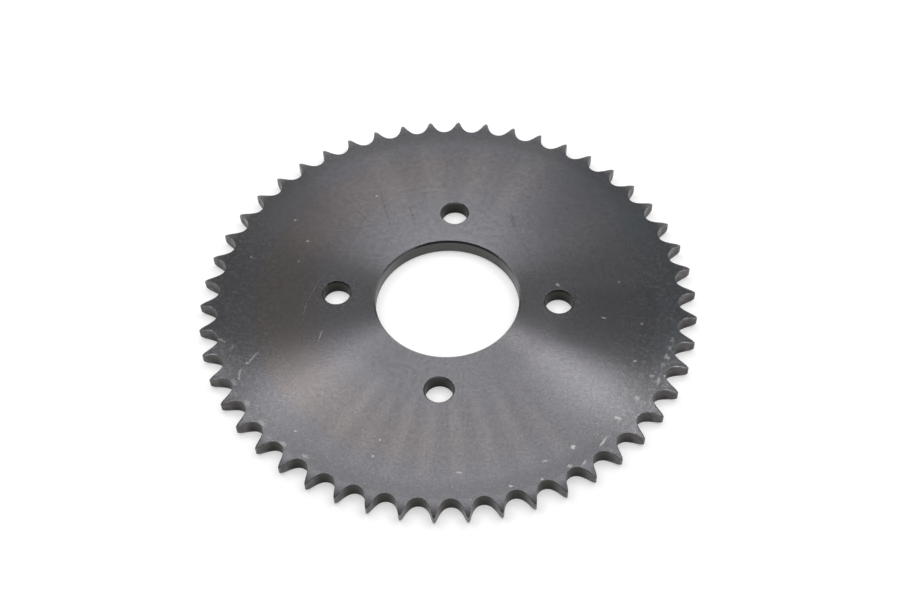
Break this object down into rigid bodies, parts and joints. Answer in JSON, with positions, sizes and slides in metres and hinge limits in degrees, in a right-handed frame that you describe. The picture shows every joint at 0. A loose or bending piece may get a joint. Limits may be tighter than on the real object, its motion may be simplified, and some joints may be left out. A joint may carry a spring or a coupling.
{
  "type": "chain sprocket",
  "caption": "Flat steel plate sprocket for a roller chain, with pointed relieved teeth, a wide chamfered centre bore and a circle of bolt holes.",
  "frame": {"origin": "on the bore's axis in the plane of the rear face, which is the face that the part lies on", "axes": "+Z along the bore's axis from the rear face to the front face; the bolt holes lie on +X, +Y, -X and -Y"},
  "size_m": [0.209, 0.2092, 0.007],
  "materials": {
    "blackened_steel": "thin black oxide over fine turning marks, satin, with small bright scuffs"
  },
  "bodies": {
    "root": {"sprocket_plate": "blackened_steel"}
  },
  "joints": []
}
